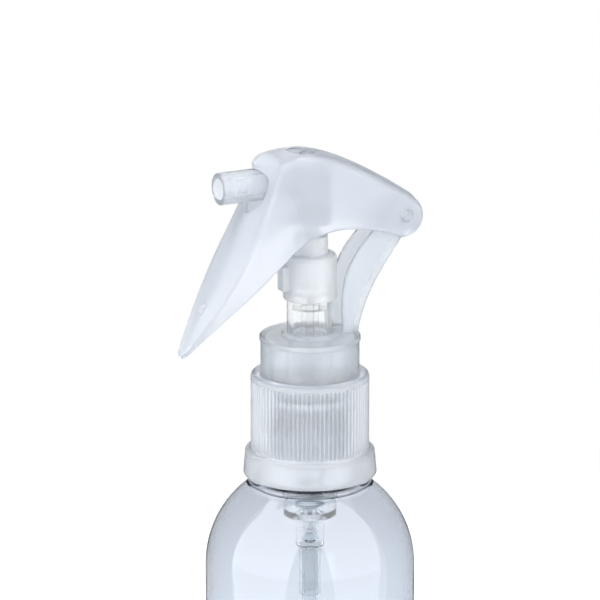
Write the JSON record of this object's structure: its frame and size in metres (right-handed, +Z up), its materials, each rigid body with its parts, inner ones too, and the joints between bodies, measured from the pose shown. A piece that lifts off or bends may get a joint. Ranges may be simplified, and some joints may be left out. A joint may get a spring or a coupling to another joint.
{
  "type": "trigger spray bottle",
  "caption": "Clear round spray bottle with a ribbed screw cap and a mist pump worked by a long hinged trigger lever that carries the spout.",
  "frame": {"origin": "middle of the bottle's foot, on the surface that it stands on", "axes": "+Z up along the bottle's axis; the spout points along -X and the trigger's hinge lies along Y, behind the bottle's axis at +X"},
  "size_m": [0.0606, 0.0484, 0.1598],
  "materials": {
    "clear_bottle": "clear blown PET, glossy",
    "natural_cap": "natural moulded polypropylene, satin, milky",
    "natural_lever": "natural moulded polypropylene, satin, milky",
    "clear_pump": "clear moulded polypropylene, glossy",
    "white_pump": "white moulded polypropylene",
    "soft_seal": "soft moulded polyethylene",
    "seal_foam": "cut foam sheet, matt",
    "spring_steel": "drawn stainless spring wire",
    "valve_glass": "polished ball",
    "dip_tube": "drawn polyethylene tube, milky"
  },
  "bodies": {
    "bottle": {"bottle": "clear_bottle"},
    "head": {"pump_base": "natural_cap", "pump_cylinder": "clear_pump", "guide_ring": "white_pump", "neck_gasket": "seal_foam", "dip_tube": "dip_tube", "return_spring": "spring_steel"},
    "cap": {"screw_cap": "natural_cap"},
    "trigger": {"trigger_lever": "natural_lever", "spout": "natural_lever", "nozzle_insert": "white_pump"},
    "plunger": {"plunger": "natural_lever", "piston_rod": "white_pump", "piston_seal": "soft_seal"},
    "valve_ball": {"inlet_ball": "valve_glass"}
  },
  "joints": [
    {"name": "head_lift", "type": "slide", "parent": "bottle", "child": "head", "axis": [0, 0, 1], "range_m": [0, 0.00476]},
    {"name": "cap_turn", "type": "hinge", "parent": "head", "child": "cap", "pos_m": [0, 0, 0.10005], "axis": [0, 0, 1], "range_deg": [0, 540]},
    {"name": "trigger_squeeze", "type": "hinge", "parent": "head", "child": "trigger", "pos_m": [0.0224, 0, 0.14197], "axis": [0, -1, 0], "range_deg": [0, 16.5]},
    {"name": "plunger_stroke", "type": "slide", "parent": "head", "child": "plunger", "axis": [0, 0, -1], "range_m": [0, 0.0065], "stiffness_N_per_m": 800, "springref_m": -0.004, "deforming": ["return_spring"]},
    {"name": "ball_lift", "type": "slide", "parent": "head", "child": "valve_ball", "axis": [0, 0, 1], "range_m": [0, 0.0012]}
  ],
  "couplings": [
    {"joint": "trigger_squeeze", "follows": "plunger_stroke", "rad_per_m": 44.304},
    {"joint": "cap_turn", "follows": "head_lift", "rad_per_m": 1978.9}
  ]
}
